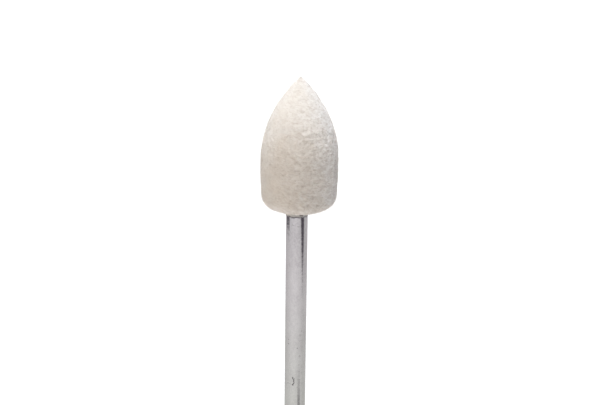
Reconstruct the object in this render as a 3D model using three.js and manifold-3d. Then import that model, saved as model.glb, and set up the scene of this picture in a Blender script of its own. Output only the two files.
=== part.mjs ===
// A bullet-shaped felt polishing bob, glued on a 1/8 inch steel mandrel for a rotary tool.
// Millimetres, +Z up. The mandrel stands on the Z axis with its collet end at the origin,
// and the point of the felt is the highest point.
import * as THREE from "three";
import { mergeVertices } from "three/addons/utils/BufferGeometryUtils.js";
import Module from "manifold-3d";

// Driving dimensions
const shankDiameter = 3.175; // 1/8 inch, the collet size
const shankLength = 38.1; // bare shank from the collet end to the felt, 1 1/2 inch
const bobDiameter = 11.1; // 7/16 inch, at the shoulder
const bobLength = 19.05; // 3/4 inch

// Felt bob, with heights counted up from its base
const baseRadius = 5.4; // the side draws in a little from the shoulder to the base
const baseRounding = 1.75;
const shoulderHeight = 6.4; // where the straight side ends and the point begins
const pointFullness = 2.27; // exponent of the point's curve: 1 is a cone, more is fuller
const noseRadius = 0.25; // the tip is rounded over
const boreRadius = shankDiameter / 2 + 0.3;
const boreDepth = 12.4;
const boreDrillPoint = 0.9; // height of the cone at the bore's blind end

// Mandrel, with heights counted up from the felt's base
const shankRadius = shankDiameter / 2;
const endChamfer = 0.4;
const plainDepth = 1.6; // full-diameter shank inside the bore
const keyGrooveLength = 0.9; // each groove holds a ring of adhesive
const keyGrooveRadius = 1.15;
const keyGrooveSlope = 0.25; // height of each sloping groove side
const knurlLength = 3.2;
const knurlBands = 2;
const knurlRidges = 24;
const knurlDepth = 0.14;
const pilotLength = 1.2;
const pilotTipRadius = 0.55;

// Adhesive
const fitGap = 0.06; // clear space on each side of the adhesive film
const filletHeight = 1.25; // the bead that shows round the shank, below the felt
const filletWidth = 1.05;

const roundSegments = 72;
const arcSteps = 8;
const sideSteps = 5;
const pointSteps = 24;
const noseSteps = 4;

const steel = new THREE.MeshStandardMaterial({ color: 0xbcb9ba, roughness: 0.22, metalness: 1.0 });
const woolFelt = new THREE.MeshStandardMaterial({ color: 0xe6dac8, roughness: 0.95, metalness: 0.0 });
const curedAdhesive = new THREE.MeshStandardMaterial({ color: 0xcdc8bf, roughness: 0.35, metalness: 0.0 });

const wasm = await Module();
wasm.setup();

// ---- helpers ----

// Turns a closed mesh geometry into a solid that can be joined and cut.
function solidFrom(geometry) {
  geometry.deleteAttribute("normal");
  geometry.deleteAttribute("uv");
  const merged = mergeVertices(geometry, 1e-4);
  return new wasm.Manifold(
    new wasm.Mesh({
      numProp: 3,
      vertProperties: new Float32Array(merged.getAttribute("position").array),
      triVerts: new Uint32Array(merged.index.array),
    }),
  );
}

// Turns a solid back into a geometry for a mesh.
function geometryFrom(solid) {
  const { vertProperties, triVerts } = solid.getMesh();
  const geometry = new THREE.BufferGeometry();
  geometry.setAttribute("position", new THREE.BufferAttribute(vertProperties, 3));
  geometry.setIndex(new THREE.BufferAttribute(triVerts, 1));
  geometry.computeVertexNormals();
  return geometry;
}

// Revolves an outline of [radius, height] points round the Z axis. The outline runs upwards
// along the outside, and starts and ends on the axis.
function revolve(outline) {
  const points = outline.map(([radius, height]) => new THREE.Vector2(radius, height));
  return new THREE.LatheGeometry(points, roundSegments).rotateX(Math.PI / 2);
}

// Points of a circular arc in the outline's plane, both ends included. Angles are in degrees.
function arc(centreRadius, centreHeight, radius, fromDegrees, toDegrees, steps = arcSteps) {
  return Array.from({ length: steps + 1 }, (_, i) => {
    const angle = THREE.MathUtils.degToRad(fromDegrees + ((toDegrees - fromDegrees) * i) / steps);
    return [centreRadius + radius * Math.cos(angle), centreHeight + radius * Math.sin(angle)];
  });
}

function namedMesh(name, geometry, material) {
  const mesh = new THREE.Mesh(geometry, material);
  mesh.name = name;
  return mesh;
}

// ---- felt bob: pressed wool, with a blind bore in its base ----

// The point's curve meets the axis at about 45 degrees, so without its nose it would end here.
const sharpTipHeight = bobLength + noseRadius * (Math.SQRT2 - 1);
const noseFoot = bobLength - noseRadius * (1 - Math.SQRT1_2);

// Outer radius of the felt at a height above its base, from the base rounding to the nose.
function bobRadiusAt(height) {
  const shoulderRadius = bobDiameter / 2;
  if (height <= shoulderHeight) {
    const upTheSide = (height - baseRounding) / (shoulderHeight - baseRounding);
    return baseRadius + (shoulderRadius - baseRadius) * Math.sin((upTheSide * Math.PI) / 2);
  }
  const upThePoint = (height - shoulderHeight) / (sharpTipHeight - shoulderHeight);
  return shoulderRadius * (1 - upThePoint ** pointFullness);
}

// Outline points of the felt from one height up to another, leaving out the first.
function bobOutline(fromHeight, toHeight, steps) {
  return Array.from({ length: steps }, (_, i) => {
    const height = fromHeight + ((toHeight - fromHeight) * (i + 1)) / steps;
    return [bobRadiusAt(height), height];
  });
}

// The nose's round, from 45 degrees up to the axis, without the two points that its neighbours have.
const noseRound = arc(0, bobLength - noseRadius, noseRadius, 45, 90, noseSteps).slice(1, -1);

function feltBob() {
  const outline = [
    [0, boreDepth],
    [boreRadius, boreDepth - boreDrillPoint],
    [boreRadius, 0],
    ...arc(baseRadius - baseRounding, baseRounding, baseRounding, -90, 0),
    ...bobOutline(baseRounding, shoulderHeight, sideSteps),
    ...bobOutline(shoulderHeight, noseFoot, pointSteps),
    ...noseRound,
    [0, bobLength],
  ];
  return namedMesh("felt_bob", revolve(outline), woolFelt);
}

// ---- mandrel: one turned steel pin, plain below the felt, grooved and knurled inside it ----

// Heights of the foot of each knurled band, above the felt's base.
const bandFeet = Array.from(
  { length: knurlBands },
  (_, band) => plainDepth + keyGrooveLength + band * (knurlLength + keyGrooveLength),
);
const pilotFoot = bandFeet.at(-1) + knurlLength;

// One band of straight knurling: a ridged prism whose ridges carry the turning force.
function knurlBand(foot, grow) {
  const outerRadius = shankRadius + grow;
  const innerRadius = outerRadius - knurlDepth;
  const corners = Array.from({ length: 2 * knurlRidges }, (_, i) => {
    const radius = i % 2 ? innerRadius : outerRadius;
    const angle = (i * Math.PI) / knurlRidges;
    return new THREE.Vector2(radius * Math.cos(angle), radius * Math.sin(angle));
  });
  const prism = new THREE.ExtrudeGeometry(new THREE.Shape(corners), {
    depth: knurlLength + 2 * grow,
    bevelEnabled: false,
  });
  return solidFrom(prism.translate(0, 0, foot - grow));
}

// The whole pin, made larger all over by grow, so that the adhesive can be cut to fit round it.
function mandrelSolid(grow = 0) {
  const coreRadius = shankRadius - knurlDepth + grow;
  const grooves = bandFeet.flatMap((foot, band) => {
    const grooveFoot = foot - keyGrooveLength + grow;
    const grooveTop = foot - grow;
    const radiusBelow = band === 0 ? shankRadius + grow : coreRadius;
    return [
      [radiusBelow, grooveFoot],
      [keyGrooveRadius + grow, grooveFoot + keyGrooveSlope],
      [keyGrooveRadius + grow, grooveTop - keyGrooveSlope],
      [coreRadius, grooveTop],
    ];
  });
  const outline = [
    [0, -shankLength - grow],
    [shankRadius - endChamfer + grow, -shankLength - grow],
    [shankRadius + grow, -shankLength + endChamfer - grow],
    ...grooves,
    [coreRadius, pilotFoot + grow],
    [pilotTipRadius + grow, pilotFoot + pilotLength + grow],
    [0, pilotFoot + pilotLength + grow],
  ];
  const turned = solidFrom(revolve(outline));
  return bandFeet.reduce((pin, foot) => pin.add(knurlBand(foot, grow)), turned);
}

function mandrel() {
  return namedMesh("mandrel", geometryFrom(mandrelSolid()), steel);
}

// ---- adhesive: fills the bore round the pin, and ends in a bead below the felt ----

function adhesive() {
  const filmRadius = boreRadius - fitGap;
  const beadTop = -fitGap;
  const beadCentreRadius = shankRadius + filletWidth;
  const beadCentreHeight = beadTop - filletHeight;
  // The bead's hollow face is a quarter ellipse from the shank out to the felt's base.
  const bead = arc(0, 0, 1, 180, 90).map(([across, up]) => [
    beadCentreRadius + across * filletWidth,
    beadCentreHeight + up * filletHeight,
  ]);
  const outline = [
    [0, beadCentreHeight],
    ...bead,
    [filmRadius, beadTop],
    [filmRadius, boreDepth - boreDrillPoint - fitGap],
    [0, boreDepth - 2 * fitGap],
  ];
  const filling = solidFrom(revolve(outline));
  return namedMesh("adhesive", geometryFrom(filling.subtract(mandrelSolid(fitGap))), curedAdhesive);
}

// Everything above is built round the felt's base, which stands at the top of the bare shank.
const bob = new THREE.Group();
bob.add(feltBob(), mandrel(), adhesive());
bob.position.z = shankLength;

export default bob;
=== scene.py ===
"""A felt polishing bob on a steel mandrel, standing on a white studio floor.

Lengths are in millimetres until a mesh, light or camera is made, when MM turns them into metres.
Heights in the felt's outline and in its adhesive are counted up from the felt's base.
Azimuths are counted round the Z axis, from the camera's side towards +X.
"""

import math
from typing import NamedTuple

import bpy
import numpy as np
from mathutils import Matrix, Vector, noise


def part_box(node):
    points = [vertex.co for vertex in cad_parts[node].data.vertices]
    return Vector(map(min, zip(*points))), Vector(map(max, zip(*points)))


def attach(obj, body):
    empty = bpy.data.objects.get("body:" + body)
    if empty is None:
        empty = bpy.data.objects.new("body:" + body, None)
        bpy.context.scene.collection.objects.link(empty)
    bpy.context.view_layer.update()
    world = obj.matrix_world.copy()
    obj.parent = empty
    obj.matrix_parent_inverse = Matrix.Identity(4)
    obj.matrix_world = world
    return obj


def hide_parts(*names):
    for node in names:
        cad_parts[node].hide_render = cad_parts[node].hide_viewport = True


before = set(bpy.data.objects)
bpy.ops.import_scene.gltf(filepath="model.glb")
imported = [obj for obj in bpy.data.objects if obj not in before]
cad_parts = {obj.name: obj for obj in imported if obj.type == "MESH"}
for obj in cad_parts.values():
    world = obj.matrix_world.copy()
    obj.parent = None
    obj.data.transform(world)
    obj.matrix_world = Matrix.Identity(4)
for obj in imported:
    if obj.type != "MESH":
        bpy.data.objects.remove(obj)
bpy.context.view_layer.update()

MM = 0.001


# ---- driving dimensions, taken from the frame where it has them ----


def span_of(node):
    """Lowest and highest corner of a CAD node, in millimetres."""
    low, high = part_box(node)
    return low / MM, high / MM


FELT_LOW, FELT_HIGH = span_of("felt_bob")
BASE_Z = FELT_LOW.z  # height of the felt's base above the floor
FELT_LENGTH = FELT_HIGH.z - FELT_LOW.z
SHOULDER_RADIUS = FELT_HIGH.x
SHANK_RADIUS = span_of("mandrel")[1].x

# The felt's outline
BASE_RADIUS = 5.38
BASE_ROUNDING = 1.76
SHOULDER_HEIGHT = 6.4
POINT_FULLNESS = 2.27  # exponent of the point's curve: 1 is a cone, more is fuller
NOSE_RADIUS = 0.25
SHARP_TIP = FELT_LENGTH + NOSE_RADIUS * (math.sqrt(2) - 1)  # where the point would end without its nose
BORE_RADIUS = 1.9
BORE_DEPTH = 12.4
BORE_POINT = 0.9
FELT_OFFSET = 0.24  # the felt sits a little to +X of the pin
FELT_LEAN = 0.0049  # and leans that way, in radians

# The camera, placed from the middle of the felt's base
CAMERA_ELEVATION = math.radians(20)
CAMERA_DISTANCE = 179.2
CAMERA_LENS = 74.22
SENSOR_WIDTH = 36
CAMERA_ROLL = math.radians(0.72)
AIM_RIGHT = 0.42
AIM_UP = 0.40

rng = np.random.default_rng(7)  # the one stream of draws, for the fibres


# ---- meshes ----


def add_mesh(name, vertices, faces, material):
    """Makes a smooth object from vertices in millimetres, in the row frame."""
    mesh = bpy.data.meshes.new(name)
    mesh.from_pydata((np.asarray(vertices) * MM).tolist(), [], faces)
    mesh.polygons.foreach_set("use_smooth", [True] * len(mesh.polygons))
    mesh.materials.append(material)
    piece = bpy.data.objects.new(name, mesh)
    bpy.context.scene.collection.objects.link(piece)
    return piece


def add_values(piece, name, values):
    """Gives each vertex of a piece a number that its material can read."""
    attribute = piece.data.attributes.new(name, "FLOAT", "POINT")
    attribute.data.foreach_set("value", values.astype(np.float32))


def circle(columns):
    """The angles of a ring's columns, in radians."""
    return np.arange(columns) * 2 * math.pi / columns


def spin(rows, columns):
    """Turns (radial, upward) rows into rings of vectors round the Z axis, as (row, column, 3)."""
    angles = circle(columns)
    radial, upward = rows[:, 0, None], rows[:, 1, None]
    return np.stack([radial * np.cos(angles), radial * np.sin(angles), upward + 0 * angles], axis=-1)


def band(low, high, columns):
    """The faces between two rings, given each ring's first vertex."""
    here = np.arange(columns)
    after = (here + 1) % columns
    return np.stack([low + here, low + after, high + after, high + here], axis=1).tolist()


def cone(ring, end, columns, upwards):
    """The faces between a ring, given its first vertex, and a single end vertex above or below it."""
    here = ring + np.arange(columns)
    after = np.roll(here, -1)
    near, far = (here, after) if upwards else (after, here)
    return np.stack([near, far, here * 0 + end], axis=1).tolist()


def lathe(outline, columns):
    """Revolves an outline of (radius, height) rows that starts and ends on the axis.

    Returns the vertices, which are a ring for each row between the ends and then the two ends, and the faces.
    """
    outline = np.asarray(outline, float)
    rings = spin(outline[1:-1], columns)
    first, last = outline[0, 1], outline[-1, 1]
    vertices = np.vstack([rings.reshape(-1, 3), [[0, 0, first], [0, 0, last]]])
    starts = [row * columns for row in range(len(rings))]
    faces = []
    for low, high in zip(starts, starts[1:]):
        faces += band(low, high, columns)
    faces += cone(0, len(vertices) - 2, columns, upwards=False)
    faces += cone(starts[-1], len(vertices) - 1, columns, upwards=True)
    return vertices, faces


def arc(centre, radius, start, end, steps):
    """Points of a circular arc in the outline's plane, both ends included. Angles are in degrees."""
    angles = np.radians(np.linspace(start, end, steps + 1))
    return np.stack([centre[0] + radius * np.cos(angles), centre[1] + radius * np.sin(angles)], axis=1)


def perlin(points, size, seed):
    """Smooth noise, about -0.7 to 0.7, with one bump to a size. size is a number or one for each axis."""
    scaled = np.asarray(points) / size + seed * 31.7
    return np.array([noise.noise(p) for p in scaled.tolist()])


def unit(vectors):
    return vectors / np.linalg.norm(vectors, axis=-1, keepdims=True)


# ---- felt ----

FELT_COLUMNS = 320
BORE_ROWS = 14
BASE_ROWS = 18
ROUNDING_STEPS = 34
SIDE_ROWS = 196
NOSE_STEPS = 4
NOSE_START = 52  # in degrees, a little past the 45 at which the side meets the nose
COMB_TILT = math.radians(-10)  # the tufts slope down towards +X
WANDER_SIZE, WANDER_REACH = 1.1, 0.4  # how the tufts wind
LUMP_SIZE, LUMP_HEIGHT = (0.7, 0.7, 0.38), 0.065
KNOT_SIZE, KNOT_HEIGHT = (0.36, 0.36, 0.2), 0.04
BROAD_SIZE, BROAD_HEIGHT = 3.4, 0.05
FLUFF_TO_SIDE = 0.55  # share of the tufts' height gained at the +X side
FLUFF_WITH_HEIGHT = 0.09  # share lost for each millimetre above the shoulder
LEAST_FLUFF = 0.3
FADE_ROWS = 8  # the texture fades in over these rows outside the bore
TIP_SHARE = 0.3  # how much of the texture the very tip has


class Skin(NamedTuple):
    """The felt's vertices, the way out of the plain shape at each, and each one's share of the texture."""

    points: np.ndarray
    outward: np.ndarray
    share: np.ndarray


def side_radius(height):
    """The felt's radius at a height, from its base rounding up to its nose."""
    up_side = np.clip((height - BASE_ROUNDING) / (SHOULDER_HEIGHT - BASE_ROUNDING), 0, 1)
    side = BASE_RADIUS + (SHOULDER_RADIUS - BASE_RADIUS) * np.sin(up_side * math.pi / 2)
    up_point = np.clip((height - SHOULDER_HEIGHT) / (SHARP_TIP - SHOULDER_HEIGHT), 0, 1)
    return side * (1 - up_point**POINT_FULLNESS)


def felt_outline():
    """The bore and the outside of the felt as (radius, height) rows, and how many of the rows are inside."""
    bore_top = BORE_DEPTH - BORE_POINT
    base_edge = BASE_RADIUS - BASE_ROUNDING
    nose_foot = FELT_LENGTH - NOSE_RADIUS * (1 - math.sqrt(0.5))
    base = np.linspace(BORE_RADIUS, base_edge, BASE_ROWS)[:-1]
    heights = np.linspace(BASE_ROUNDING, nose_foot, SIDE_ROWS)[1:]
    bore = [[0, BORE_DEPTH], [BORE_RADIUS, bore_top]]
    bore += [[BORE_RADIUS, height] for height in np.linspace(bore_top, 0, BORE_ROWS)[1:-1]]
    outside = [
        np.stack([base, 0 * base], axis=1),
        arc((base_edge, BASE_ROUNDING), BASE_ROUNDING, -90, 0, ROUNDING_STEPS),
        np.stack([side_radius(heights), heights], axis=1),
        arc((0, FELT_LENGTH - NOSE_RADIUS), NOSE_RADIUS, NOSE_START, 90, NOSE_STEPS),
    ]
    outline = np.vstack([bore, *outside])
    outline[-1, 0] = 0
    return outline, len(bore)


def outward_normals(outline):
    """The outline's own normals, as (radial, upward) rows."""
    along = np.gradient(outline, axis=0)
    return unit(np.stack([along[:, 1], -along[:, 0]], axis=1))


def felt_relief(points):
    """Height of the matted wool above the plain shape, in millimetres.

    The tufts lie flat and slope down towards +X, and are fluffier on that side and towards the base.
    """
    wander = np.stack([perlin(points, WANDER_SIZE, seed) for seed in (11, 12, 13)], axis=1)
    combed = points + wander * WANDER_REACH
    combed[:, 2] -= math.tan(COMB_TILT) * points[:, 0]
    lumps = perlin(combed, LUMP_SIZE, seed=1)
    knots = perlin(combed, KNOT_SIZE, seed=2)
    broad = perlin(points, BROAD_SIZE, seed=4)
    to_side = 1 + FLUFF_TO_SIDE * points[:, 0] / SHOULDER_RADIUS
    with_height = 1 - FLUFF_WITH_HEIGHT * (points[:, 2] - SHOULDER_HEIGHT)
    fluff_and_shade = to_side * with_height.clip(LEAST_FLUFF)
    return (LUMP_HEIGHT * lumps + KNOT_HEIGHT * knots) * fluff_and_shade + BROAD_HEIGHT * broad


def make_felt(material):
    """The felt with its relief, set off the pin's axis. Returns it with its skin, for the fibres."""
    outline, inside = felt_outline()
    points, faces = lathe(outline, FELT_COLUMNS)
    rings = spin(outward_normals(outline)[1:-1], FELT_COLUMNS)
    outward = np.vstack([rings.reshape(-1, 3), [[0, 0, -1], [0, 0, 1]]])
    # The bore keeps its size and its place round the pin.
    row_share = np.clip((np.arange(1, len(outline) - 1) - inside) / FADE_ROWS, 0, 1)
    share = np.append(np.repeat(row_share, FELT_COLUMNS), [0, TIP_SHARE])
    points = points + outward * (felt_relief(points) * share)[:, None]
    points[:, 0] += share * (FELT_OFFSET + FELT_LEAN * points[:, 2])
    points[:, 2] += BASE_Z
    return add_mesh("felt_body", points, faces, material), Skin(points, outward, share)


# ---- fibres ----

FIBRE_RINGS = 5
FIBRE_SIDES = 3
FIBRE_CURL = 0.9  # how far the heading turns along a fibre, in radians
FIBRE_TAPER = 0.75  # share of its thickness that a fibre loses by its far end
ROOT_DEPTH = 0.015
RISE_POWER = 1.6  # how late a fibre with a free end leaves the felt


class FibreKind(NamedTuple):
    """One sort of fibre. length and thickness are a least and a most, and spread is in radians."""

    name: str
    count: int
    length: tuple
    lift: float
    spread: float
    both_ends_held: bool
    thickness: tuple


MATTED = FibreKind("felt_matted_fibres", 7200, (0.5, 1.3), 0.03, 0.6, True, (0.022, 0.042))
LOOSE = FibreKind("felt_loose_fibres", 4500, (0.3, 0.9), 0.07, 1.0, False, (0.018, 0.032))


def fibre_paths(kind, skin):
    """Centre lines of fibres rooted in the felt's skin, as (fibre, ring, 3), and the way out at each root."""
    each = (kind.count, 1, 1)
    # The skin's vertices crowd towards the axis, so they are weighted by their distance from it.
    weight = np.hypot(skin.points[:, 0], skin.points[:, 1]) * (skin.share >= 1)
    roots = rng.choice(len(skin.points), kind.count, p=weight / weight.sum())
    outward = unit(skin.outward[roots])[:, None]
    radial = unit(skin.points[roots] * (1, 1, 0))[:, None]
    around = np.cross((0, 0, 1), radial)
    upward = np.cross(outward, around)
    along = np.linspace(0, 1, FIBRE_RINGS)[:, None]
    reach = rng.uniform(*kind.length, each) * along
    side = rng.choice([-1, 1], each)
    heading = rng.normal(0, kind.spread, each) + rng.normal(0, FIBRE_CURL, each) * along
    way = side * around * np.cos(heading) + upward * np.sin(heading)
    rise = rng.exponential(kind.lift, each)
    hump = 4 * along * (1 - along) if kind.both_ends_held else along**RISE_POWER
    # A fibre that runs round the felt follows its curve.
    sink = reach**2 / (2 * SHOULDER_RADIUS) * np.cos(heading) ** 2
    paths = skin.points[roots][:, None] + way * reach + outward * (rise * hump - sink - ROOT_DEPTH)
    return paths, outward


def tube_faces():
    """The faces of one fibre: its two ends and the bands between its rings."""
    last = (FIBRE_RINGS - 1) * FIBRE_SIDES
    faces = [list(range(FIBRE_SIDES))[::-1], list(range(last, last + FIBRE_SIDES))]
    for low in range(0, last, FIBRE_SIDES):
        faces += band(low, low + FIBRE_SIDES, FIBRE_SIDES)
    return faces


def make_fibres(kind, skin, material):
    """Many closed tapering tubes in one piece, with a shade for each fibre."""
    paths, outward = fibre_paths(kind, skin)
    ahead = unit(np.gradient(paths, axis=1))
    across = unit(np.cross(ahead, outward))
    over = np.cross(across, ahead)
    taper = 1 - FIBRE_TAPER * np.linspace(0, 1, FIBRE_RINGS) ** 2
    radius = rng.uniform(*kind.thickness, (kind.count, 1, 1, 1)) / 2 * taper[:, None, None]
    turn = circle(FIBRE_SIDES)[:, None]
    ring = across[:, :, None] * np.cos(turn) + over[:, :, None] * np.sin(turn)
    vertices = (paths[:, :, None] + ring * radius).reshape(-1, 3)
    per_fibre = FIBRE_RINGS * FIBRE_SIDES
    pattern = tube_faces()
    starts = range(0, len(vertices), per_fibre)
    faces = [[corner + start for corner in face] for start in starts for face in pattern]
    piece = add_mesh(kind.name, vertices, faces, material)
    add_values(piece, "shade", np.repeat(rng.random(kind.count), per_fibre))
    return piece


# ---- adhesive bead ----

GLUE_COLUMNS = 160
BEAD_ROWS = 14
SLEEVE_ROWS = 6
BEAD_HEIGHT = 1.3
BEAD_DROP = 0.03  # how far the whole bead is below the felt's base
BEAD_FOOT = BASE_Z - BEAD_HEIGHT  # above the floor
BEAD_WIDTH = 1.05
BEAD_EDGE = 0.07  # thickness where it thins out on the shank
BEAD_WAVES = ((0.09, 0.625, 21), (0.05, 0.2, 22))  # of its lower edge, as (height, size, seed)
DARK_EDGE_HEIGHT = 0.24  # of the bead's lower edge that is painted darker: a painted contact shadow, and polishing residue
SLEEVE_TOP = 11.3
PIN_GAP = 0.02
BORE_GAP = 0.06


def glue_section():
    """The closed outline of the glue, as rows of (distance from the shank, height): bead, then sleeve."""
    share = np.linspace(0, 1, BEAD_ROWS)
    bead_out = BEAD_EDGE + (BEAD_WIDTH - BEAD_EDGE) * (1 - np.sqrt(1 - share**2))
    bead = np.stack([bead_out, -BEAD_HEIGHT * (1 - share) - BEAD_DROP], axis=1)
    sleeve_out = BORE_RADIUS - SHANK_RADIUS - BORE_GAP
    sleeve = [[sleeve_out, height] for height in np.linspace(0, SLEEVE_TOP, SLEEVE_ROWS)]
    return np.vstack([[[PIN_GAP, -BEAD_HEIGHT - BEAD_DROP]], bead, sleeve, [[PIN_GAP, SLEEVE_TOP]]])


def make_glue(material):
    """The glue: a sleeve inside the bore and a bead below the felt, whose lower edge wanders."""
    section = glue_section()
    angles = circle(GLUE_COLUMNS)
    places = np.stack([np.cos(angles), np.sin(angles), 0 * angles], axis=1)
    wave = sum(height * perlin(places, size, seed) for height, size, seed in BEAD_WAVES)
    depth = np.clip(-section[:, 1] / BEAD_HEIGHT, 0, 1)
    vertices = spin(section + (SHANK_RADIUS, BASE_Z), GLUE_COLUMNS)
    vertices[:, :, 2] -= wave * depth[:, None] ** 2
    rows = len(section)
    faces = []
    for row in range(rows):
        faces += band(row * GLUE_COLUMNS, (row + 1) % rows * GLUE_COLUMNS, GLUE_COLUMNS)
    piece = add_mesh("adhesive_bead", vertices.reshape(-1, 3), faces, material)
    # A share of painted shade at the bead's lower edge, for the contact shadow there, mixed with polishing
    # residue; it fades out a little way up.
    above_edge = section[:, 1] + BEAD_HEIGHT + BEAD_DROP
    add_values(piece, "edge_shade_and_grime", np.repeat(np.clip(1 - above_edge / DARK_EDGE_HEIGHT, 0, 1), GLUE_COLUMNS))
    return piece


# ---- mandrel ----

EDGE_ROUNDING = 0.04


def finish_mandrel(mandrel, material):
    """Gives the CAD pin its steel, smooth shading and rounded edges. Its vertices stay as they are."""
    mesh = mandrel.data
    mesh.materials.clear()
    mesh.materials.append(material)
    mesh.attributes.remove(mesh.attributes["custom_normal"])
    mesh.polygons.foreach_set("use_smooth", [True] * len(mesh.polygons))
    mesh.attributes["sharp_edge"].data.foreach_set("value", [False] * len(mesh.edges))
    weld = mandrel.modifiers.new("joined_faces", "WELD")
    weld.merge_threshold = 0.001 * MM
    bevel = mandrel.modifiers.new("rounded_edges", "BEVEL")
    bevel.width = EDGE_ROUNDING * MM
    bevel.segments = 3
    bevel.limit_method = "ANGLE"
    bevel.harden_normals = True


# ---- materials ----


class Nodes:
    """A material's node tree, with short ways to add and join nodes."""

    def __init__(self, name):
        self.material = bpy.data.materials.new(name)
        self.material.use_nodes = True
        self.tree = self.material.node_tree
        self.shader = self.tree.nodes["Principled BSDF"]
        self.place = self.add("ShaderNodeTexCoord").outputs["Object"]

    def add(self, kind, inputs=None, **settings):
        node = self.tree.nodes.new(kind)
        for key, value in settings.items():
            setattr(node, key, value)
        for key, value in (inputs or {}).items():
            self.give(node.inputs[key], value)
        return node

    def give(self, socket, value):
        if isinstance(value, bpy.types.NodeSocket):
            self.tree.links.new(value, socket)
        else:
            socket.default_value = value

    def set(self, **sockets):
        """Sets the shader's sockets, whose names have _ for each space."""
        for key, value in sockets.items():
            self.give(self.shader.inputs[key.replace("_", " ")], value)

    def math(self, operation, first, second=0.0):
        return self.add("ShaderNodeMath", {0: first, 1: second}, operation=operation).outputs[0]

    def vector(self, operation, first, second=None, output="Vector"):
        inputs = {0: first} if second is None else {0: first, 1: second}
        return self.add("ShaderNodeVectorMath", inputs, operation=operation).outputs[output]

    def split(self):
        """The object's X, Y and Z coordinates, in metres."""
        return self.add("ShaderNodeSeparateXYZ", {0: self.place}).outputs

    def azimuth(self):
        """The azimuth, in radians."""
        x, y, _ = self.split()
        return self.math("ARCTAN2", x, self.math("MULTIPLY", y, -1.0))

    def height(self):
        """The height in millimetres."""
        return self.math("MULTIPLY", self.split()[2], 1 / MM)

    def stretched(self, scale, tilt):
        """The object's coordinates in millimetres, turned about Y by tilt, times a scale for each axis."""
        inputs = {"Vector": self.place, "Angle": tilt}
        turned = self.add("ShaderNodeVectorRotate", inputs, rotation_type="Y_AXIS").outputs["Vector"]
        inputs = {"Vector": turned, "Scale": [s / MM for s in scale]}
        return self.add("ShaderNodeMapping", inputs).outputs["Vector"]

    def noise(self, scale, detail=2.0, roughness=0.5, distortion=0.0, tilt=0.0):
        """Noise from 0 to 1, with about scale bumps to a millimetre along each axis."""
        inputs = {
            "Vector": self.stretched(scale, tilt),
            "Scale": 1.0,
            "Detail": detail,
            "Roughness": roughness,
            "Distortion": distortion,
        }
        return self.add("ShaderNodeTexNoise", inputs).outputs["Fac"]

    def creases(self, scale, distortion):
        """1 along thin winding lines, as of hairs, and 0 between them."""
        folded = self.math("ABSOLUTE", self.math("SUBTRACT", self.noise(scale, 3.0, 0.6, distortion), 0.5))
        return self.remap(folded, 0.0, 0.035, 1.0, 0.0)

    def ramp(self, value, *stops):
        """A colour for a value, from (position, colour) stops."""
        node = self.add("ShaderNodeValToRGB", {"Fac": value})
        elements = node.color_ramp.elements
        while len(elements) < len(stops):
            elements.new(0.5)
        for element, (position, colour) in zip(elements, stops):
            element.position = position
            element.color = (*colour, 1)
        return node.outputs["Color"]

    def remap(self, value, low, high, new_low, new_high):
        inputs = {"Value": value, 1: low, 2: high, 3: new_low, 4: new_high}
        return self.add("ShaderNodeMapRange", inputs).outputs[0]

    def mix(self, share, first, second):
        """The first colour, with a share of the second."""
        node = self.add("ShaderNodeMix", data_type="RGBA")
        self.give(node.inputs[0], share)
        self.give(node.inputs[6], first)
        self.give(node.inputs[7], (*second, 1))
        return node.outputs[2]

    def bump(self, height, distance, strength=1.0, normal=None):
        inputs = {"Height": height, "Distance": distance * MM, "Strength": strength}
        if normal is not None:
            inputs["Normal"] = normal
        return self.add("ShaderNodeBump", inputs).outputs["Normal"]

    def attribute(self, name):
        return self.add("ShaderNodeAttribute", attribute_name=name).outputs["Fac"]


# Painted shade: the colours of the hollows between the felt's tufts and of its pores.
TUFT_HOLLOW_SHADE = (0.70, 0.625, 0.56)
PORE_SHADE = (0.56, 0.48, 0.41)
WHITE_HAIR = (0.97, 0.95, 0.92)
CUTICLE_EDGE = (0.72, 0.65, 0.58)
FIBRE_SHADES = ((0.0, (0.76, 0.70, 0.64)), (0.5, (0.88, 0.835, 0.785)), (1.0, WHITE_HAIR))
WOOL_CLOUDS = ((0.35, (0.88, 0.82, 0.755)), (0.65, (0.91, 0.865, 0.82)))
STEEL_CLOUDS = ((0.3, (0.56, 0.545, 0.55)), (0.7, (0.67, 0.66, 0.665)))
DRAWN_LINE = (0.5, 0.48, 0.49)
STEEL_SMEAR = (0.74, 0.73, 0.72)
# dark for the marks and residue, and for the painted shade below the bead
STEEL_DIRT_AND_SHADE = (0.05, 0.043, 0.045)
GLUE_CLOUDS = ((0.35, (0.74, 0.71, 0.67)), (0.65, (0.86, 0.84, 0.81)))
# for residue and for the painted shade on the glue
GLUE_DIRT_AND_SHADE = (0.06, 0.05, 0.055)


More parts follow.
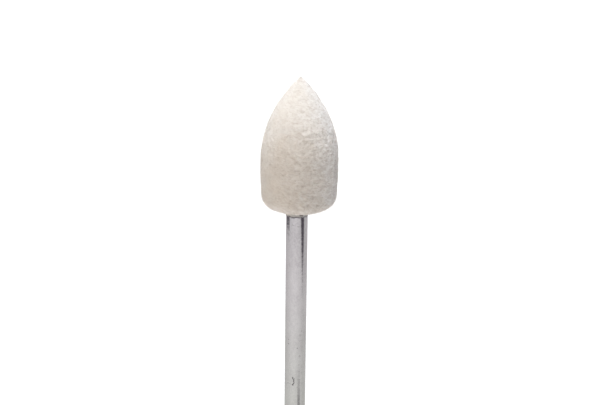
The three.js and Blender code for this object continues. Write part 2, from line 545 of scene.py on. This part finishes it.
def mottle_with_painted_shade(n, wool):
    """The wool's colour with painted shade in the hollows between its tufts and in its pores, and how deep
    the pores are.

    The painted shade shows most towards +X and below the shoulder, standing in for the relief's shading under
    light from the left.
    """
    x, _, z = n.split()
    # How strongly the hollows and pores are painted darker, as shade: most towards +X and below the shoulder.
    up_share = n.remap(z, (BASE_Z + SHOULDER_HEIGHT) * MM, (BASE_Z + FELT_LENGTH) * MM, 1.0, 0.65)
    side_share = n.remap(x, -SHOULDER_RADIUS * MM, SHOULDER_RADIUS * MM, 0.3, 1.5)
    fluff_and_shade = n.math("MULTIPLY", side_share, up_share)
    tufts = n.noise((1.4, 1.4, 2.8), detail=3, roughness=0.6, distortion=0.5, tilt=COMB_TILT)
    pores = n.noise((2.3, 2.3, 4.8), detail=3, roughness=0.6, tilt=COMB_TILT)
    hollow_shade_share = n.math("MULTIPLY", n.remap(tufts, 0.42, 0.64, 0.0, 0.7), fluff_and_shade)
    pore_shade_share = n.math("MULTIPLY", n.remap(pores, 0.5, 0.66, 0.0, 0.55), fluff_and_shade)
    return n.mix(pore_shade_share, n.mix(hollow_shade_share, wool, TUFT_HOLLOW_SHADE), PORE_SHADE), pore_shade_share


def fibre_material():
    """Wool fibres from cream to white, each with a tone of its own and scaly cuticle, and the felt's painted
    shade in hollows and pores.
    """
    n = Nodes("wool_fibre")
    wool, _ = mottle_with_painted_shade(n, n.ramp(n.attribute("shade"), *FIBRE_SHADES))
    scales = n.noise((30, 30, 30))
    wool = n.mix(n.remap(scales, 0.4, 0.7, 0.0, 0.2), wool, CUTICLE_EDGE)
    n.set(Base_Color=wool, Roughness=0.6, Sheen_Weight=0.2, Sheen_Roughness=0.4, Specular_IOR_Level=0.3)
    return n.material


def wool_material():
    """Pressed wool: cloudy cream, with painted shade in its hollows and pores, and covered with fine matted
    hairs.
    """
    n = Nodes("wool_felt")
    clouds = n.noise((0.35, 0.35, 0.35), detail=3)
    level_hairs = n.creases((4.0, 4.0, 11.0), 1.5)
    steep_hairs = n.creases((12.0, 12.0, 6.0), 1.8)
    hairs = n.math("MAXIMUM", level_hairs, steep_hairs)
    wool, pores = mottle_with_painted_shade(n, n.ramp(clouds, *WOOL_CLOUDS))
    wool = n.mix(n.math("MULTIPLY", hairs, 0.45), wool, WHITE_HAIR)
    n.set(Base_Color=wool, Roughness=0.95, Sheen_Weight=0.25, Sheen_Roughness=0.5)
    n.set(Sheen_Tint=(1.0, 0.97, 0.94, 1.0), Specular_IOR_Level=0.2)
    n.set(Normal=n.bump(pores, -0.05, 0.8, n.bump(hairs, 0.02, 0.9)))
    return n.material


class Mark(NamedTuple):
    """A stroke through points of (way round, height above the floor), or a speck where there is one point.

    The way round starts at the camera's side and grows towards +X, in millimetres. depth is how strongly the
    mark shows, up to 1.
    """

    points: tuple
    half_width: float
    depth: float


MARKS = (
    Mark(((-0.38, 10.95), (-0.22, 10.5), (-0.17, 10.05), (-0.36, 9.7)), 0.07, 0.8),  # a hooked scratch
    Mark(((-0.06, 10.85), (-0.22, 10.5)), 0.05, 0.5),  # its side branch
    Mark(((-0.36, 9.7),), 0.13, 0.85),  # the dent at its end
    Mark(((-1.4, 9.7), (-1.02, 9.9), (-0.7, 9.75)), 0.05, 0.3),  # a shallow scratch beside it
    Mark(((-1.13, 17.15),), 0.1, 0.4),
    Mark(((-1.12, 16.45),), 0.09, 0.45),
    Mark(((0.7, 17.95),), 0.2, 0.13),
    Mark(((0.95, 18.6),), 0.1, 0.2),
    Mark(((0.26, 15.85),), 0.1, 0.35),
    Mark(((0.67, 14.45),), 0.16, 0.1),
    Mark(((0.1, 35.4), (0.3, 35.3)), 0.06, 0.15),
    Mark(((-0.7, 35.6), (-0.4, 35.5)), 0.06, 0.15),
)
BUBBLE = Mark(((0.45, BEAD_FOOT + 0.34), (0.85, BEAD_FOOT + 0.28)), 0.13, 1.0)  # burst, in the bead
WOBBLE = 0.06  # how ragged the marks' edges are, in millimetres


def unrolled(n):
    """The shank's surface laid flat, with the way round as X and the height as Y, and then the height.

    All are in millimetres.
    """
    wobble = n.remap(n.noise((4.0, 4.0, 4.0)), 0.3, 0.7, -WOBBLE, WOBBLE)
    way_round = n.math("ADD", n.math("MULTIPLY", n.azimuth(), SHANK_RADIUS), wobble)
    height = n.math("ADD", n.height(), wobble)
    return n.add("ShaderNodeCombineXYZ", {"X": way_round, "Y": height}).outputs[0], height


def stroke(n, flat, start, end, half_width):
    """1 on a stroke between two points of the flat plane, and 0 away from it."""
    start, end = Vector((*start, 0)), Vector((*end, 0))
    reach = end - start
    along = reach / max(reach.length_squared, 1e-6)
    gap = n.vector("SUBTRACT", flat, start)
    share = n.math("MINIMUM", n.vector("DOT_PRODUCT", gap, along, "Value"), 1.0)
    share = n.math("MAXIMUM", share, 0.0)
    nearest = n.add("ShaderNodeVectorMath", {0: reach, "Scale": share}, operation="SCALE").outputs["Vector"]
    away = n.vector("LENGTH", n.vector("SUBTRACT", gap, nearest), None, "Value")
    return n.remap(away, half_width * 0.5, half_width * 1.4, 1.0, 0.0)


def strokes(n, flat, marks):
    """How strongly the marks show at each place."""
    total = 0.0
    for mark in marks:
        for start, end in zip(mark.points, mark.points[1:] or mark.points):
            shown = n.math("MULTIPLY", stroke(n, flat, start, end, mark.half_width), mark.depth)
            total = n.math("MAXIMUM", total, shown)
    return total


def shade_and_grime_below_bead(n, height):
    """A dark band painted on the shank just below the bead's edge, as the contact shadow there, broken into
    patches like glue and polishing residue that has crept down.
    """
    creep = n.remap(height, BEAD_FOOT - 0.3, BEAD_FOOT - 0.02, 0.0, 1.0)
    patches = n.remap(n.noise((2.2, 2.2, 3.0), detail=3), 0.42, 0.56, 0.1, 0.85)
    return n.math("MULTIPLY", creep, patches)


def steel_material():
    """Centreless ground steel: fine rings round it, faint drawn lines along it, cloudy stains and marks, and
    a dark band painted below the bead as shade.
    """
    n = Nodes("ground_steel")
    cloudy = n.noise((0.5, 0.5, 0.25), detail=4)
    smears = n.noise((2.6, 2.6, 1.8), detail=4, roughness=0.65, distortion=0.8)
    grinding = n.noise((1.2, 1.2, 26.0), detail=3, roughness=0.6)
    drawn = n.noise((9.0, 9.0, 0.35), detail=3, roughness=0.55)
    waves = n.noise((1.1, 1.1, 1.8))
    flat, height = unrolled(n)
    # The marks are the steel's own; the band below the bead is painted shade.
    marks_and_painted_shade = n.math("MAXIMUM", strokes(n, flat, MARKS), shade_and_grime_below_bead(n, height))
    tone = n.ramp(cloudy, *STEEL_CLOUDS)
    tone = n.mix(n.remap(drawn, 0.55, 0.8, 0.0, 0.3), tone, DRAWN_LINE)
    tone = n.mix(n.remap(smears, 0.35, 0.7, 0.0, 0.6), tone, STEEL_SMEAR)
    n.set(Base_Color=n.mix(marks_and_painted_shade, tone, STEEL_DIRT_AND_SHADE), Metallic=1.0)
    polish = n.math("ADD", n.remap(grinding, 0.3, 0.7, 0.06, 0.1), n.remap(smears, 0.5, 0.8, 0.0, 0.05))
    n.set(Roughness=n.math("ADD", polish, n.math("MULTIPLY", marks_and_painted_shade, 0.4)))
    surface = n.bump(n.math("ADD", grinding, drawn), 0.001, 0.3)
    surface = n.bump(waves, 0.008, 0.6, surface)
    n.set(Normal=n.bump(marks_and_painted_shade, -0.02, 1.0, surface))
    return n.material


def glue_material():
    """Off-white cured glue, cloudy, greyed all over by painted shade and polishing residue, darkest at its
    lower edge, where a contact shadow is painted, and in a burst bubble.
    """
    n = Nodes("cured_adhesive")
    cloudy = n.noise((1.5, 1.5, 1.5), detail=3)
    broken = n.remap(n.noise((3.5, 3.5, 3.5)), 0.3, 0.7, -0.35, 0.3)
    # The glue is greyed by painted shade and residue, most at its lower edge.
    edge_shade_and_grime = n.remap(n.math("ADD", n.attribute("edge_shade_and_grime"), broken), 0.3, 0.7, 0.5, 0.97)
    flat, _ = unrolled(n)
    shade_and_dirt = n.math("MAXIMUM", edge_shade_and_grime, strokes(n, flat, (BUBBLE,)))
    n.set(Base_Color=n.mix(shade_and_dirt, n.ramp(cloudy, *GLUE_CLOUDS), GLUE_DIRT_AND_SHADE))
    n.set(Roughness=n.remap(cloudy, 0.3, 0.7, 0.3, 0.5), IOR=1.5)
    n.set(Normal=n.bump(shade_and_dirt, -0.03, 0.8, n.bump(n.noise((4, 4, 4)), 0.02, 0.6)))
    return n.material


# ---- studio ----

STUDIO_COLUMNS = 96
FLOOR_RADIUS = 700
DOME_RADIUS = 1100
DOME_STEPS = 24
WHITE = 1.02  # brightness of the far floor and of the dome
NEAR_FLOOR = 0.86  # less, because the lamps light the floor too, except in the object's shadow
BRIGHT_FROM = 300  # distance from the object at which the floor is full white


def white_material(name, near_brightness, diffuse):
    """A plain white surface that also gives light of its own, from the middle of the set outwards."""
    n = Nodes(name)
    distance = n.vector("LENGTH", n.place, None, "Value")
    brightness = n.remap(distance, 0.0, BRIGHT_FROM * MM, near_brightness, WHITE)
    n.set(Base_Color=(diffuse, diffuse, diffuse, 1), Roughness=1.0, Specular_IOR_Level=0.0)
    n.set(Emission_Color=(1, 1, 1, 1), Emission_Strength=brightness)
    return n.material


class Flag(NamedTuple):
    """A dark flag round the set, seen only in the steel. Heights are where it meets the tent.

    It leans, by FLAG_LEAN degrees for a millimetre of height above FLAG_LEVEL, where it has its azimuth.
    From its lowest edge up, its width grows from low_share to the whole.
    """

    azimuth: float  # in degrees, as is the half width
    half_width: float
    low_share: float
    lowest: float
    highest: float
    fade: float
    darkness: float


TENT_RADIUS = 300
TENT_STEPS = 32
BEYOND = 400  # a height past the tent's ends
FLAG_LEVEL = -72
FLAG_LEAN = -0.36
FLAGS = (
    Flag(63, 24, 0.2, -92, BEYOND, 8, 0.9),
    Flag(-107, 27, 1.0, -76, BEYOND, 0.6, 0.9),
    Flag(18, 15, 1.0, -BEYOND, -134, 5, 0.55),
)
FLAG_COLOUR = (0.07, 0.055, 0.08)
TENT_COLOURS = ((0.0, (0.97, 0.985, 0.935)), (0.66, (1.0, 0.965, 0.985)), (1.0, (0.91, 0.885, 0.91)))
TENT_COLOURS_FROM, TENT_COLOURS_TO = -145, -70  # the heights that the colours span
TENT_BRIGHTEST, TENT_DIMMEST = 0.88, 0.65
BRIGHTEST_AZIMUTH = -20
DIMS_FROM, DIMS_TO = 15, 110  # degrees away from the brightest azimuth


def flag_shadow(n, azimuth, height, flag):
    """How dark one flag makes each place on the tent."""
    lean = n.math("MULTIPLY", n.math("SUBTRACT", height, FLAG_LEVEL), FLAG_LEAN)
    away = n.math("ABSOLUTE", n.math("SUBTRACT", azimuth, n.math("ADD", lean, flag.azimuth)))
    width_share = n.remap(height, flag.lowest - flag.fade, flag.lowest + 3 * flag.fade, flag.low_share, 1.0)
    across = n.math("DIVIDE", away, width_share)
    inside = n.remap(across, flag.half_width * 0.75, flag.half_width * 1.1, 1.0, 0.0)
    above = n.remap(height, flag.lowest - flag.fade, flag.lowest + flag.fade, 0.0, 1.0)
    below = n.remap(height, flag.highest - flag.fade, flag.highest + flag.fade, 1.0, 0.0)
    shadow = n.math("MULTIPLY", n.math("MULTIPLY", inside, above), below)
    return n.math("MULTIPLY", shadow, flag.darkness)


def tent_material():
    """The studio that the steel mirrors: brightest left of the camera, greener below, with dark flags."""
    n = Nodes("tent_light")
    azimuth = n.math("MULTIPLY", n.azimuth(), 180 / math.pi)
    height = n.height()
    colour = n.ramp(n.remap(height, TENT_COLOURS_FROM, TENT_COLOURS_TO, 0.0, 1.0), *TENT_COLOURS)
    for flag in FLAGS:
        colour = n.mix(flag_shadow(n, azimuth, height, flag), colour, FLAG_COLOUR)
    from_brightest = n.math("ABSOLUTE", n.math("SUBTRACT", azimuth, BRIGHTEST_AZIMUTH))
    n.set(Base_Color=(0, 0, 0, 1), Roughness=1.0, Specular_IOR_Level=0.0)
    brightness = n.remap(from_brightest, DIMS_FROM, DIMS_TO, TENT_BRIGHTEST, TENT_DIMMEST)
    n.set(Emission_Color=colour, Emission_Strength=brightness)
    return n.material


def only_seen_by(thing, seen_by):
    """Leaves an object visible only to one kind of ray."""
    for ray in ("camera", "diffuse", "glossy", "transmission", "volume_scatter", "shadow"):
        setattr(thing, "visible_" + ray, ray == seen_by)


def sphere(radius, steps):
    """The vertices and faces of a sphere round the origin."""
    outline = arc((0, 0), radius, -90, 90, steps)
    outline[[0, -1], 0] = 0
    return lathe(outline, STUDIO_COLUMNS)


def make_backdrop():
    """The floor, and a dome round it that carries its white up past the horizon."""
    disc = spin(np.array([[FLOOR_RADIUS, 0]]), STUDIO_COLUMNS)[0]
    floor_faces = [list(range(STUDIO_COLUMNS))]
    floor = add_mesh("floor", disc, floor_faces, white_material("floor_white", NEAR_FLOOR, 0.2))
    vertices, faces = sphere(DOME_RADIUS, DOME_STEPS)
    dome = add_mesh("dome", vertices, faces, white_material("dome_white", WHITE, 0.0))
    for thing in (floor, dome):
        only_seen_by(thing, "camera")


def make_tent():
    vertices, faces = sphere(TENT_RADIUS, TENT_STEPS)
    tent = add_mesh("reflection_tent", vertices, faces, tent_material())
    only_seen_by(tent, "glossy")


def make_world():
    """A little grey light from all round, for the felt and the glue. The steel mirrors only the tent."""
    world = bpy.data.worlds.new("studio")
    bpy.context.scene.world = world
    world.use_nodes = True
    background = world.node_tree.nodes["Background"]
    background.inputs["Color"].default_value = (WORLD_GREY, WORLD_GREY, WORLD_GREY, 1)
    world.cycles_visibility.glossy = False


class Softbox(NamedTuple):
    """A round area light aimed at the middle of the felt. Its angles are in degrees."""

    name: str
    azimuth: float
    elevation: float
    distance: float
    size: float
    watts: float
    colour: tuple


WORLD_GREY = 0.08
WARM_LIGHT = (1.0, 0.9, 0.79)
COOL_LIGHT = (0.88, 0.93, 0.975)
SOFTBOXES = (
    Softbox("top_softbox", 0, 89, 320, 120, 1.3, COOL_LIGHT),
    Softbox("key", -30, 10, 420, 140, 0.81, WARM_LIGHT),
    Softbox("left_fill", -80, 20, 420, 260, 0.34, WARM_LIGHT),
    Softbox("left_rim", -122, 15, 420, 260, 0.55, (0.7, 0.88, 1.0)),
    Softbox("front_fill", 40, 10, 420, 140, 0.43, COOL_LIGHT),
    Softbox("right_fill", 85, 20, 420, 260, 0.4, COOL_LIGHT),
    Softbox("right_rim", 118, 15, 420, 260, 0.74, (0.86, 0.88, 1.0)),
    Softbox("back_fill", 180, 10, 420, 260, 0.85, (1.0, 0.95, 0.89)),
    Softbox("table_bounce", 50, -86, 400, 300, 1.6, (0.98, 0.98, 1.0)),
)


def add_softbox(box):
    """Adds one softbox, which lights the felt and the glue but isn't mirrored."""
    light = bpy.data.lights.new(box.name, "AREA")
    light.shape = "DISK"
    light.size = box.size * MM
    light.energy = box.watts
    light.color = box.colour
    lamp = bpy.data.objects.new(box.name, light)
    azimuth, elevation = math.radians(box.azimuth), math.radians(box.elevation)
    level = Vector((math.sin(azimuth), -math.cos(azimuth), 0))
    away = level * math.cos(elevation) + Vector((0, 0, math.sin(elevation)))
    middle = Vector((0, 0, BASE_Z + FELT_LENGTH / 2))
    lamp.location = (middle + away * box.distance) * MM
    lamp.rotation_euler = away.to_track_quat("Z", "Y").to_euler()
    lamp.visible_glossy = False
    bpy.context.scene.collection.objects.link(lamp)


def make_camera():
    camera = bpy.data.objects.new("camera", bpy.data.cameras.new("camera"))
    bpy.context.scene.collection.objects.link(camera)
    camera.data.lens = CAMERA_LENS
    camera.data.sensor_width = SENSOR_WIDTH
    camera.data.clip_start = 0.01
    camera.data.clip_end = 10
    back = Vector((0, -math.cos(CAMERA_ELEVATION), math.sin(CAMERA_ELEVATION)))
    right = Vector((1, 0, 0))
    up = back.cross(right)
    base = Vector((0, 0, BASE_Z))
    eye = base + back * CAMERA_DISTANCE
    aim = base + right * AIM_RIGHT + up * AIM_UP
    turn = (eye - aim).to_track_quat("Z", "Y").to_matrix() @ Matrix.Rotation(CAMERA_ROLL, 3, "Z")
    camera.matrix_world = Matrix.Translation(eye * MM) @ turn.to_4x4()
    bpy.context.scene.camera = camera


# ---- the scene ----

make_camera()
make_world()
for softbox in SOFTBOXES:
    add_softbox(softbox)
make_backdrop()
make_tent()
bpy.context.scene.view_settings.view_transform = "Standard"

felt, felt_skin = make_felt(wool_material())
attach(felt, "root")
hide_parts("felt_bob")

hair = fibre_material()
for fibre_kind in (MATTED, LOOSE):
    fibres = make_fibres(fibre_kind, felt_skin, hair)
    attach(fibres, "root")
    fibres.parent = felt

glue = make_glue(glue_material())
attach(glue, "root")
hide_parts("adhesive")

finish_mandrel(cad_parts["mandrel"], steel_material())
